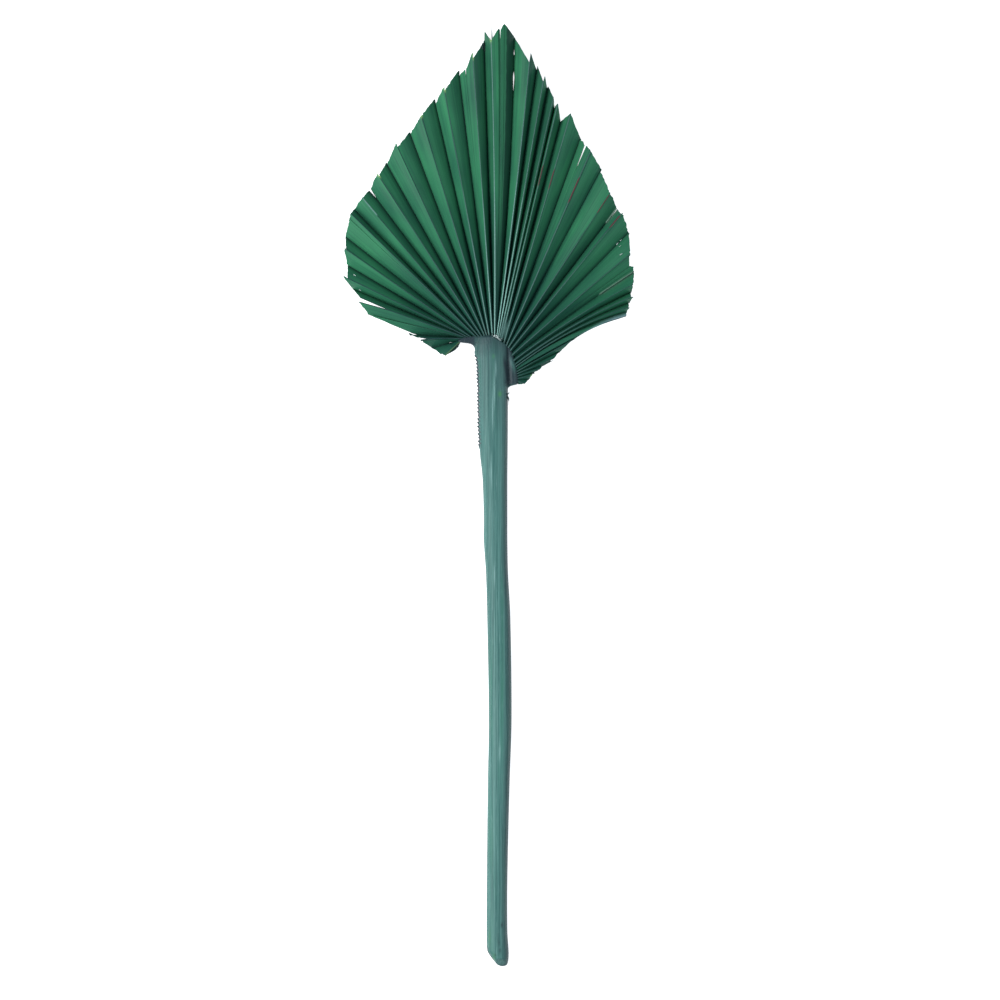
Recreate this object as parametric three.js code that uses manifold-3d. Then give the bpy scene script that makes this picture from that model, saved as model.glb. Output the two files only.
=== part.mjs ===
// A fan palm leaf cut to a spear head on its stalk: dried, dyed green, and lying on its back.
// Millimetres. The stalk's cut end points to -Y, the tip of the head to +Y, the upper face to +Z.
import * as THREE from "three";
import { mergeVertices } from "three/addons/utils/BufferGeometryUtils.js";
import Module from "manifold-3d";

// Whole leaf, measured from its middle, and the hub that the folds aim at.
const LENGTH = 471.4;
const WIDTH = 145.2;
const HEAD = 160.6; // hub to tip
const HUB_X = 3.3;
const HUB_Y = LENGTH / 2 - HEAD;

// Blade.
const SKIN = 0.7; // thickness of a panel
const PLEAT_DEPTH = 5.4; // crest above valley, where a pleat is wide enough
const STEEPEST = 1.9; // rise of a panel over its width, in the narrow pleats round the hub
const MEAN_HEIGHT = 4.5; // middle of the pleats over the surface that the leaf lies on
const DROOP = 1.3; // how far the two sides hang below the middle of the blade
const ROLL = 0.12; // how much higher the right side lies than the left
const RIB_HEIGHT = 0.4; // cord on each crest
const RIB_HALF = 0.5;
const ROWS = [0, 0.06, 0.16, 0.3, 0.5, 0.72, 0.89, 1]; // hub to rim
const JOIN_GAP = 0.2; // left clear between the blade's foot and the stalk

// The foot of the blade runs along the lip at the top of the stalk: points from the leaf's middle.
const LIP = [
  [-14.3, 76.1],
  [-13.1, 78.4],
  [-11, 79.3],
  [-6.7, 79.7],
  [-2.2, 80.2],
  [0.4, 81.2],
  [2.9, 81.8],
  [5.4, 82.7],
  [8, 83.7],
  [10.1, 83],
  [10.5, 80],
  [10.1, 77.1],
  [11.2, 74.9],
  [12.3, 73],
  [13.8, 68.5],
  [14.7, 64.5],
  [15, 60],
  [14.7, 55.6],
];

// Every fold from the lower left round to the lower right. A crest has its root, measured along the
// lip; a valley's lies between its neighbours'. `at` is the bearing at the rim in degrees, clockwise
// from +Y, and `reach` the distance from the hub. A corner is a bend of the rim inside a panel.
//   tooth  length past the rim on the outer side of the fold, and `back` on its inner side
//   slit   share of the fold's length at which a slit starts, and `gape` its width at the rim
//   hole   share at which a short hole is widest, `gape` wide, that shuts again before the rim
//   bow    how far the middle of the fold bends to the right
//   rise   height of the fold, as a share of the usual height
const crest = (root, at, reach, more = {}) => ({ root, at, reach, ...more });
const valley = (at, reach, more = {}) => ({ at, reach, low: true, ...more });
const corner = (at, reach, more = {}) => ({ at, reach, plain: true, ...more });
const FOLDS = [
  valley(-95, 17.5, { root: 0.2 }),
  crest(1.2, -102.4, 25.6),
  valley(-92.2, 32),
  crest(2.7, -85.3, 37.4, { slit: 0.87, gape: 0.7 }),
  valley(-81.8, 41, { tooth: 1.6 }),
  corner(-76.5, 65.2),
  crest(4, -71.5, 71.4, { slit: 0.72, gape: 2 }),
  valley(-68.3, 76.7),
  crest(5.1, -65.6, 81, { tooth: 2.4 }),
  valley(-61.5, 84),
  crest(6.6, -57.3, 88.5, { tooth: 1 }),
  valley(-54, 92.5),
  corner(-49, 96.4),
  crest(9.2, -47.6, 97.6),
  valley(-46, 98),
  crest(10.7, -42, 99),
  valley(-38.8, 100, { slit: 0.93, gape: 0.8 }),
  crest(12.2, -34.5, 102.4, { tooth: 1.3 }),
  valley(-30.8, 105.5, { tooth: 0.8 }),
  crest(13.8, -26.2, 110.2, { tooth: 1.9 }),
  valley(-21.8, 113.9, { tooth: 1 }),
  crest(14.9, -17.8, 120.4),
  valley(-13.8, 124.4, { tooth: 2.4 }),
  crest(16.3, -11.2, 129.8, { tooth: 1.6 }),
  valley(-7.5, 136.2, { tooth: 2.6 }),
  crest(18, -4.4, 143.6, { tooth: 3 }),
  valley(-2, 152, { tooth: 5.4 }),
  crest(19.3, -0.7, 152.4, { tooth: 6.6, bow: 0.8 }),
  corner(0.62, 158),
  corner(0.95, 157.6, { slit: 0.96, gape: 0.4 }),
  corner(1.64, 160.7),
  crest(20, 2.1, 159.4, { rise: 0.5, bow: 2.4 }),
  valley(3.6, 154.4, { hole: 0.87, gape: 0.9, bow: 1.9 }),
  crest(20.8, 6.9, 142.3, { tooth: 4.4, bow: 0.9 }),
  valley(8.6, 139.2, { tooth: 2.1 }),
  crest(22, 10.4, 133.8, { tooth: 2.8 }),
  valley(11.5, 131.4, { tooth: 0.8 }),
  crest(23.1, 13.3, 127),
  valley(14.05, 122.4),
  crest(24.5, 14.6, 124.6),
  valley(16.3, 116.5),
  crest(26.4, 18.1, 121.8),
  valley(22.4, 112),
  corner(24.4, 109.6, { slit: 0.89, gape: 0.9 }),
  crest(32.2, 26.3, 108),
  valley(31.2, 100, { tooth: 1.8, back: 2.6 }),
  crest(34.7, 37.2, 95.2),
  valley(41.9, 91.7, { slit: 0.89, gape: 0.6 }),
  crest(36.7, 43.9, 91, { tooth: 0.8 }),
  valley(50, 87.2),
  crest(39.5, 56, 81.4),
  corner(59.6, 77.9),
  corner(60.4, 79.6),
  valley(62.3, 78.4),
  crest(42.5, 66.4, 75.4),
  valley(68.8, 73.2),
  crest(44.7, 70.6, 72, { tooth: 1.2 }),
  valley(72.5, 70.4),
  crest(46.1, 74.2, 69.2, { tooth: 0.6 }),
  valley(75.8, 68.2),
  corner(77.6, 67.2),
  crest(47.3, 78.9, 53.4),
  valley(81.6, 45.6),
  crest(48.5, 86, 39.2),
  valley(95.2, 32.7),
  crest(49.7, 104, 29.4),
  valley(111, 27),
  crest(51, 119, 25),
  valley(124, 24),
  crest(52.3, 130, 23.9),
  valley(135, 24.1),
  crest(53.6, 142, 24.4),
  valley(149, 22.6, { root: 54.6 }),
];

// Stalk: stations from the cut end to the lip, as [y, left edge, right edge, thickness].
const STALK = [
  [-LENGTH / 2, 5.9, 8.3, 4.4],
  [-234.6, 4.4, 9.3, 5.8],
  [-232.4, 2.4, 10, 6.8],
  [-227.5, -0.4, 10.1, 7.3],
  [-218, -0.6, 9.5, 7.4],
  [-192, -0.5, 9.4, 7.4],
  [-144, -0.3, 10.6, 7.6],
  [-112, 0.2, 11.6, 7.8],
  [-62, -0.6, 11, 7.9],
  [-38, -1.3, 9.8, 8],
  [-21.5, -2.4, 9.5, 8],
  [-12, -2.3, 9.5, 8.1],
  [9, -3, 9.5, 8.3],
  [20, -4.2, 9.6, 8.5],
  [32.5, -4.9, 9.7, 8.8],
  [55, -5.3, 9.8, 9.2],
  [66, -5.8, 10, 9.3],
  [69, -6.2, 10.1, 9.2],
  [71, -7, 10.2, 9.2],
  [74.4, -6.5, 10, 8.8],
  [77.6, -5.8, 9.6, 8.2],
  [79.4, -1.6, 9.5, 7.4],
  [81, 2.8, 9.3, 6.6],
  [82.4, 6.2, 8.8, 5.8],
];
const STALK_SIDES = 18;
const FLAT_HALF = 2; // half the width of the strip that the stalk lies on

// Arm that reaches left under the blade: [x, y, half width, half thickness].
const ARM_HEIGHT = 4.7;
const ARM = [
  [-13.5, 76.9, 0.6, 0.8],
  [-12.2, 77.3, 1.2, 1.5],
  [-10, 77.6, 1.5, 2],
  [-6.5, 77.1, 2.3, 2.8],
  [-2.5, 75.5, 2.6, 3.4],
];

// Shoulder that carries the blade down the right side: [y, outer edge, half thickness].
const SHOULDER_INNER = 6;
const SHOULDER_HEIGHT = 4.4;
const SHOULDER = [
  [77.6, 9.8, 1.8],
  [75, 10.9, 2.6],
  [73, 12, 3],
  [68.5, 13.6, 3.3],
  [64.5, 14.5, 3.3],
  [60, 14.8, 3.2],
  [57, 14.6, 3],
  [55.4, 13.6, 2.6],
  [54.2, 11.2, 2],
  [52.6, 10, 1.2],
];

// Rolled lip along the top of the stalk, by length along LIP.
const LIP_FROM = 6.5;
const LIP_TO = 28.5;
const LIP_STEPS = 12;
const LIP_INSET = 1.05;
const LIP_RADIUS = 0.9;
const LIP_HEIGHT = 6.6;

// Small teeth along the left margin, just below the head.
const SAW_FROM = 23.6;
const SAW_TEETH = 25;
const SAW_PITCH = 1.85;
const SAW_DEPTH = 0.6;
const SAW_INSET = 1.2;
const SAW_THICK = 1;
const SAW_HEIGHT = 4.2;

const mix = THREE.MathUtils.lerp;
const lipCurve = new THREE.CatmullRomCurve3(
  LIP.map(([x, y]) => new THREE.Vector3(x, y, 0)),
  false,
  "centripetal",
);
const lipLength = lipCurve.getLength();

// The point of the lip at a length along it, moved out from the stalk by the joint's gap.
function lipPoint(length) {
  const s = THREE.MathUtils.clamp(length / lipLength, 0, 1);
  const point = lipCurve.getPointAt(s);
  const run = lipCurve.getTangentAt(s);
  return [point.x - run.y * JOIN_GAP, point.y + run.x * JOIN_GAP];
}

function rimPoint(at, reach) {
  const turn = THREE.MathUtils.degToRad(at);
  return [HUB_X + reach * Math.sin(turn), HUB_Y + reach * Math.cos(turn)];
}

// The crests and valleys with both their ends, and with the corners up to the next one as `bends`.
function rooted() {
  const folds = FOLDS.filter((f) => !f.plain).map((f) => ({ ...f }));
  folds.forEach((f, i) => {
    f.root ??= (folds[i - 1].root + folds[i + 1].root) / 2;
    f.foot = lipPoint(f.root);
    f.rim = rimPoint(f.at, f.reach);
    f.bends = FOLDS.filter((c) => c.plain && c.at > f.at && c.at < (folds[i + 1]?.at ?? f.at));
  });
  return folds;
}

// The place of a fold at a share of the way from foot to rim; `bow` bends it to the right.
const along = (fold, v) => [
  mix(fold.foot[0], fold.rim[0], v) + 4 * v * (1 - v) * (fold.bow ?? 0),
  mix(fold.foot[1], fold.rim[1], v),
];
const apart = (a, b, v) => Math.hypot(...along(a, v).map((c, i) => c - along(b, v)[i]));

// Height of a fold over the mean, and the slope of the panels beside it.
function lift(folds, i, v) {
  const near = [folds[i - 1], folds[i + 1]].filter(Boolean);
  const panel = near.reduce((sum, f) => sum + apart(f, folds[i], v), 0) / near.length;
  const depth = Math.min(PLEAT_DEPTH, STEEPEST * panel);
  return { half: (folds[i].low ? -0.5 : 0.5) * (folds[i].rise ?? 1) * depth, slope: depth / panel };
}

function meanHeight(x) {
  const out = x / (WIDTH / 2);
  return MEAN_HEIGHT + ROLL * out - DROOP * out ** 2;
}

// The blade's columns from left to right: at each fold, beside each crest's cord and each valley's
// crease, and at each corner. `share` is a place between a fold and its neighbour on one side, and
// `off` a distance to it in millimetres.
function bladeColumns(folds) {
  const columns = [];
  folds.forEach((fold, i) => {
    const { tooth = 0, back = 0, slit, hole, gape } = fold;
    const next = folds[i + 1];
    const outerFirst = fold.at < 1; // the outer side of a fold is the one away from the tip
    if (i > 0) columns.push({ i, side: -1, off: RIB_HALF, tooth: outerFirst ? tooth : back });
    columns.push({ i, side: 0, slit, hole, gape });
    if (next) columns.push({ i, side: 1, off: RIB_HALF, tooth: outerFirst ? back : tooth });
    for (const bend of fold.bends) {
      const share = mix(0.28, 0.72, (bend.at - fold.at) / (next.at - fold.at));
      const rim = rimPoint(bend.at, bend.reach);
      columns.push({ i, side: 1, share, rim, slit: bend.slit, gape: bend.gape });
    }
  });
  return columns;
}

// One vertex of the blade's middle surface, with the half thickness measured straight up.
function bladeVertex(folds, col, v) {
  const { i, side } = col;
  const here = lift(folds, i, v);
  let [x, y] = along(folds[i], v);
  let height = here.half;
  let slope = here.slope;
  if (side === 0) {
    if (!folds[i].low) height += RIB_HEIGHT * Math.min(1, here.half);
  } else {
    const next = lift(folds, i + side, v);
    const other = along(folds[i + side], v);
    const share = col.share ?? Math.min(col.off / apart(folds[i], folds[i + side], v), 0.22);
    x = mix(x, other[0], share);
    y = mix(y, other[1], share);
    height = mix(here.half, next.half, share);
    slope = mix(here.slope, next.slope, share);
  }
  if (v === 1 && col.rim) [x, y] = col.rim;
  if (v === 1 && col.tooth) {
    const longer = 1 + col.tooth / Math.hypot(x - HUB_X, y - HUB_Y);
    x = mix(HUB_X, x, longer);
    y = mix(HUB_Y, y, longer);
  }
  return { x, y, z: meanHeight(x) + height, half: (SKIN / 2) * Math.hypot(1, slope) };
}

// The rows of a column, from hub to rim, and the width of its slit or hole at each.
function columnRows(col) {
  const rows = ROWS.map((v) => ({ v, gape: 0 }));
  if (col.slit) {
    // The row nearest below the slit's start moves to it; the slit widens evenly from there.
    const shut = Math.max(1, rows.findLastIndex((row) => row.v <= col.slit + 0.02 && row.v < 1));
    rows[shut].v = col.slit;
    for (const row of rows.slice(shut + 1)) row.gape = (col.gape * (row.v - col.slit)) / (1 - col.slit);
  }
  if (col.hole) {
    const [before, widest, after] = rows.slice(-4, -1);
    widest.v = col.hole;
    widest.gape = col.gape;
    before.v = col.hole - 0.1;
    after.v = col.hole + 0.09;
  }
  return rows;
}

// Closes a sheet of quads into a solid: upper face, lower face with the same triangles, and walls
// wherever an edge of the sheet is free.
function solidSheet(points, quads) {
  const position = [];
  for (const p of points) position.push(p.x, p.y, p.z + p.half);
  for (const p of points) position.push(p.x, p.y, Math.max(0, p.z - p.half));
  const n = points.length;
  const index = [];
  const edges = new Map();
  for (const [a, b, c, d] of quads) {
    index.push(a, b, c, a, c, d);
    index.push(n + a, n + c, n + b, n + a, n + d, n + c);
    for (const [p, q] of [[a, b], [b, c], [c, d], [d, a]]) {
      const back = `${q},${p}`;
      if (edges.has(back)) edges.delete(back);
      else edges.set(`${p},${q}`, [p, q]);
    }
  }
  for (const [p, q] of edges.values()) index.push(p, n + p, n + q, p, n + q, q);
  const geometry = new THREE.BufferGeometry();
  geometry.setAttribute("position", new THREE.Float32BufferAttribute(position, 3));
  geometry.setIndex(index);
  return geometry;
}

function bladeGeometry() {
  const folds = rooted();
  const points = [];
  // For each column the vertex indices row by row, as seen from its left and from its right.
  const seen = bladeColumns(folds).map((col) => {
    const left = [];
    const right = [];
    for (const { v, gape } of columnRows(col)) {
      const p = bladeVertex(folds, col, v);
      left.push(points.length);
      points.push({ ...p, x: p.x - gape / 2 });
      if (gape > 0) points.push({ ...p, x: p.x + gape / 2 });
      right.push(points.length - 1);
    }
    return { left, right };
  });
  const quads = [];
  for (let c = 0; c + 1 < seen.length; c++) {
    const a = seen[c].right;
    const b = seen[c + 1].left;
    for (let r = 0; r + 1 < ROWS.length; r++) quads.push([a[r], b[r], b[r + 1], a[r + 1]]);
  }
  return solidSheet(points, quads);
}

// A closed loft through rings of equal length, with a flat cap at each end.
function loft(rings) {
  const sides = rings[0].length;
  const position = rings.flat(2);
  const index = [];
  for (let r = 0; r + 1 < rings.length; r++) {
    for (let s = 0; s < sides; s++) {
      const a = r * sides + s;
      const b = r * sides + ((s + 1) % sides);
      index.push(a, b, b + sides, a, b + sides, a + sides);
    }
  }
  const last = (rings.length - 1) * sides;
  for (let s = 1; s + 1 < sides; s++) {
    index.push(0, s + 1, s);
    index.push(last, last + s, last + s + 1);
  }
  const geometry = new THREE.BufferGeometry();
  geometry.setAttribute("position", new THREE.Float32BufferAttribute(position, 3));
  geometry.setIndex(index);
  return geometry;
}

// A round section across the stalk whose underside is cut flat on the surface it lies on.
function stalkRing([y, left, right, thick]) {
  const middle = (left + right) / 2;
  const half = (right - left) / 2;
  const flat = Math.min(FLAT_HALF, half / 2) / half;
  const start = -Math.acos(flat); // the turn at which the section meets the surface
  const radius = thick / (1 - Math.sin(start));
  const ring = [];
  for (let s = 0; s < STALK_SIDES; s++) {
    const turn = mix(start, Math.PI - start, s / (STALK_SIDES - 1));
    const z = s === 0 || s === STALK_SIDES - 1 ? 0 : radius * (Math.sin(turn) - Math.sin(start));
    ring.push([middle + half * Math.cos(turn), y, z]);
  }
  return ring.reverse();
}

// An oval ring round a centre, in the plane of `across` and +Z.
function ovalRing([x, y, z], across, half, thick, sides = 8) {
  const ring = [];
  for (let s = 0; s < sides; s++) {
    const turn = (s / sides) * 2 * Math.PI;
    const out = half * Math.cos(turn);
    ring.push([x + across[0] * out, y + across[1] * out, z + thick * Math.sin(turn)]);
  }
  return ring;
}

function armGeometry() {
  return loft(ARM.map(([x, y, half, thick]) => ovalRing([x, y, ARM_HEIGHT], [0, 1], half, thick)));
}

function shoulderGeometry() {
  const rings = SHOULDER.map(([y, outer, thick]) => {
    const half = (outer - SHOULDER_INNER) / 2;
    return ovalRing([outer - half, y, SHOULDER_HEIGHT], [1, 0], half, thick, 12);
  });
  return loft(rings);
}

function lipGeometry() {
  const rings = [];
  for (let step = 0; step <= LIP_STEPS; step++) {
    const s = mix(LIP_FROM, LIP_TO, step / LIP_STEPS) / lipLength;
    const point = lipCurve.getPointAt(s);
    const run = lipCurve.getTangentAt(s);
    const taper = LIP_RADIUS * Math.min(1, 0.4 + 1.6 * Math.sin((Math.PI * step) / LIP_STEPS));
    const centre = [point.x + run.y * LIP_INSET, point.y - run.x * LIP_INSET, LIP_HEIGHT];
    rings.push(ovalRing(centre, [-run.y, run.x], taper, taper));
  }
  return loft(rings);
}

// The stalk's left edge at a height up the leaf.
function leftEdge(y) {
  const i = STALK.findIndex((station) => station[0] > y);
  const [y0, x0] = STALK[i - 1];
  const [y1, x1] = STALK[i];
  return mix(x0, x1, (y - y0) / (y1 - y0));
}

function sawGeometry() {
  const shape = new THREE.Shape();
  for (let tooth = 0; tooth < SAW_TEETH; tooth++) {
    const y = SAW_FROM + tooth * SAW_PITCH;
    const root = [leftEdge(y) + 0.1, y];
    if (tooth === 0) shape.moveTo(...root);
    else shape.lineTo(...root);
    shape.lineTo(leftEdge(y + SAW_PITCH * 0.4) - SAW_DEPTH, y + SAW_PITCH * 0.4);
  }
  const top = SAW_FROM + SAW_TEETH * SAW_PITCH;
  shape.lineTo(leftEdge(top) + 0.1, top);
  shape.lineTo(leftEdge(top) + SAW_INSET, top);
  shape.lineTo(leftEdge(SAW_FROM) + SAW_INSET, SAW_FROM);
  const made = new THREE.ExtrudeGeometry(shape, { depth: SAW_THICK, bevelEnabled: false });
  made.translate(0, 0, SAW_HEIGHT - SAW_THICK / 2);
  made.deleteAttribute("normal");
  made.deleteAttribute("uv");
  return mergeVertices(made, 1e-4);
}

const wasm = await Module();
wasm.setup();

function toSolid(geometry) {
  const triVerts = new Uint32Array(geometry.index.array);
  const vertProperties = new Float32Array(geometry.attributes.position.array);
  return new wasm.Manifold(new wasm.Mesh({ numProp: 3, vertProperties, triVerts }));
}

function stalkGeometry() {
  const parts = [armGeometry(), shoulderGeometry(), lipGeometry(), sawGeometry()];
  let solid = toSolid(loft(STALK.map(stalkRing)));
  for (const part of parts) solid = solid.add(toSolid(part));
  const mesh = solid.getMesh();
  const geometry = new THREE.BufferGeometry();
  geometry.setAttribute("position", new THREE.BufferAttribute(mesh.vertProperties, mesh.numProp));
  geometry.setIndex(new THREE.BufferAttribute(mesh.triVerts, 1));
  return geometry;
}

const material = (color, roughness) =>
  new THREE.MeshStandardMaterial({ color, roughness, metalness: 0 });

const palm = new THREE.Group();
palm.name = "fan_palm_leaf";

const stalk = new THREE.Mesh(stalkGeometry(), material(0x4b7d78, 0.6));
stalk.name = "stalk";
palm.add(stalk);

const blade = new THREE.Mesh(bladeGeometry(), material(0x2f7350, 0.55));
blade.name = "blade";
palm.add(blade);

export default palm;
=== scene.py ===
"""A fan palm leaf, dried, dyed green and cut to a spear head, lying on a pale floor."""

import math
from types import SimpleNamespace

import bmesh
import bpy
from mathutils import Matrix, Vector, noise
from mathutils.bvhtree import BVHTree


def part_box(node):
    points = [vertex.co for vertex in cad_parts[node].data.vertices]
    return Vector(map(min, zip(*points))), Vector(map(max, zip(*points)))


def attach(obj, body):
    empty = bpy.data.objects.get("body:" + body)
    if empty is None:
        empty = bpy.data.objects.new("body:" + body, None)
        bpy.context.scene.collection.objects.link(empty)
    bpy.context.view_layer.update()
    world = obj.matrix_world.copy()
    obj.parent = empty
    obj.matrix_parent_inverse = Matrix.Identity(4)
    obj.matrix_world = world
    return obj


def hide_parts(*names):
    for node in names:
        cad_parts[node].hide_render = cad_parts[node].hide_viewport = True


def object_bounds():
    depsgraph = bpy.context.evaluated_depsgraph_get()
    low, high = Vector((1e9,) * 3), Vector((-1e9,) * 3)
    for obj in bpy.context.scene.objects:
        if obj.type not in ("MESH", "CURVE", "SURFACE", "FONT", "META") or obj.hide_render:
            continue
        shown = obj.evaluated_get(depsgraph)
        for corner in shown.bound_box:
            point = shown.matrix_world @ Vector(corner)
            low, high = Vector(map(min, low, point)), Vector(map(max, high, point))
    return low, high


bl_info = {
    "name": "Fan palm leaf",
    "version": (1, 0, 0),
    "blender": (4, 5, 0),
    "location": "3D View > Sidebar > Palm Leaf",
    "description": "Builds a dried fan palm leaf on its stalk, and the studio that shows it",
    "category": "Add Mesh",
}

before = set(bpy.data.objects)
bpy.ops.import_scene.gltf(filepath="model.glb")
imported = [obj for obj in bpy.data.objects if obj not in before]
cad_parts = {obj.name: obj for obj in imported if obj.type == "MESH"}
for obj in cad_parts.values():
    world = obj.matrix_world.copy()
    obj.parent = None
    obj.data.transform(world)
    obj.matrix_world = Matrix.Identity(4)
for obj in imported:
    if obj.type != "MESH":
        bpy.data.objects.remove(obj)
CAD_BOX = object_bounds()
MM = 0.001
# Layers of the noise, one for each thing that varies by chance.
NOISE = SimpleNamespace(wave=1, coarse_fibre=2, saw=3, cut_end=4, rag=5, fine_fibre=7, fray=8.5)


# Shape of the blade, in millimetres

HUB = Vector((3.3, 75.1))  # the point that the folds aim at
HALF_WIDTH = (CAD_BOX[1][0] - CAD_BOX[0][0]) / 2 / MM
MEAN_HEIGHT = 4.5  # middle of the pleats over the floor
DROOP = 1.3  # how far the two sides hang below the middle
STEEPEST = 1.9  # rise of a panel over its width, in the narrow pleats round the hub
RIB_STEP = 0.3  # from a fold to the next column of the mesh
COLUMN = 0.68  # between the columns of a panel, at the rim
FEWEST_COLUMNS = 3
MOST_COLUMNS = 16
RIB_STEP_SHARE = 0.2  # the most that this step may be of a panel's width
ROW_CROWDING = 1.4  # how much closer together the rows stand at the rim
APEX = 1  # bearing of the head's tip: teeth lie on the outer side of their folds
HOLE_WIDEST = 0.75  # share of a hole's length at which it is widest
TOOTH_LEAN = 0.3  # how far the tip of a tooth leans to the right of its fold
HUB_LIFT = 1.3  # how far the foot of the blade climbs onto the stalk
HUB_LIFT_RUN = 9
WAVE = 0.5  # how far a panel wanders up and down at the rim
WAVE_PITCH = Vector((16, 20))
LOWEST = 0.3
RIB_AT_HUB = 0.48  # width of a rib at the hub, as a share of its width at the rim
RIB_DIM = 0.6  # width of a dark rib, as a share of a pale one's
RIB_MOST = 0.28  # the most that half a rib may be of a panel's width
RIB_LOW = 0.5  # height of a rib at the rim, as a share of its height at the hub
RIB_FADES = (0.15, 0.85)  # it goes from its hub colour to its rim colour between these shares
LIT = 0.5  # how pale a rib is where it is lit
VALLEY_SHADE_BEFORE = 2.2  # width of the painted shade on the side of a valley that comes first, clockwise
VALLEY_SHADE_AFTER = 0.35
VALLEY_SHADE_MOST = 0.6  # the most that either may be of a panel's width
RAG_FINENESS = 2.3
UNDER_SHOWS = (0.72, 0.9)  # the pale underside comes in between these shares
FRAY = 0.8  # width of a pale torn edge
FRAY_LIFT = 1.3  # how far it curls up
PITH_HALF = 0.6  # size of the green spot at the cut end of a rib
PITH_LONG = 1.1
# The smooth patch over the lip, where the narrowest pleats have grown together.
PATCH = Vector((7.9, 83))
PATCH_HALF = Vector((2.1, 6.2))
PATCH_LEAN = 0.22  # how far it leans to the right as it goes up
PATCH_PALLOR = 0.4
PATCH_CORD = 0.7  # how much of it has the colour of a rib

# The lip at the top of the stalk, from the left arm round to the lower end of the right shoulder.
LIP = [
    (-14.3, 76.1),
    (-13.1, 78.4),
    (-11, 79.3),
    (-6.7, 79.7),
    (-2.2, 80.2),
    (0.4, 81.2),
    (2.9, 81.8),
    (5.4, 82.7),
    (8, 83.7),
    (10.1, 83),
    (10.5, 80),
    (10.1, 77.1),
    (11.2, 74.9),
    (12.3, 73),
    (13.8, 68.5),
    (14.7, 64.5),
    (15, 60),
    (14.7, 55.6),
]
# How far a fold's foot runs in under the collar, by its place along the lip.
TUCK = [
    (0, 1),
    (14, 1.2),
    (18, 2.4),
    (20, 4),
    (22, 5.8),
    (24.5, 7.7),
    (26.4, 8.2),
    (29.3, 6),
    (32.2, 3.2),
    (35, 1.8),
    (48, 1.6),
    (52, 3),
    (55, 3),
]
# How high the folds stand by their bearing, as a share of the usual height.
FOLD_RISE = [(-105, 0.8), (-84, 1), (74, 1), (80, 0.75), (90, 0.6), (150, 0.5)]
# How pale a rib is by its bearing: at the rim, then at the hub.
RIB_SHINE = [
    (-105, 0, 0.05),
    (-60, 0, 0.12),
    (-30, 0, 0.22),
    (-14, 0.03, 0.4),
    (-5, 0.3, 0.7),
    (0, 0.45, 0.85),
    (5, 0.4, 1),
    (11, 0.4, 1),
    (15, 0.35, 0.6),
    (19, 0.3, 0.4),
    (27, 0.2, 0.3),
    (45, 0.12, 0.22),
    (75, 0.1, 0.2),
    (150, 0.05, 0.12),
]
# How ragged the cut rim is by its bearing.
RAGGED = [
    (-105, 1.8),
    (-84, 1.7),
    (-75, 1.1),
    (-66, 0.5),
    (0, 0.5),
    (50, 0.8),
    (85, 0.8),
    (92, 1.2),
    (150, 1),
]

# What a fold may have besides its place. Each is explained over the table of folds.
SIZES = ("tooth", "back", "gape", "bow", "slit")
LOOKS = ("brown", "lit", "plain", "pith", "fresh", "under", "shade", "frayed")


def crest(root, at, reach, **more):
    """A fold that stands up, with its foot at a length along the lip."""
    return SimpleNamespace(level=1, root=root, at=at, reach=reach, **more)


def valley(at, reach, **more):
    """A fold that lies low."""
    return SimpleNamespace(level=-1, at=at, reach=reach, **more)


def bend(at, reach, **more):
    """A corner of the rim inside a panel."""
    return SimpleNamespace(level=0, at=at, reach=reach, **more)
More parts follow.
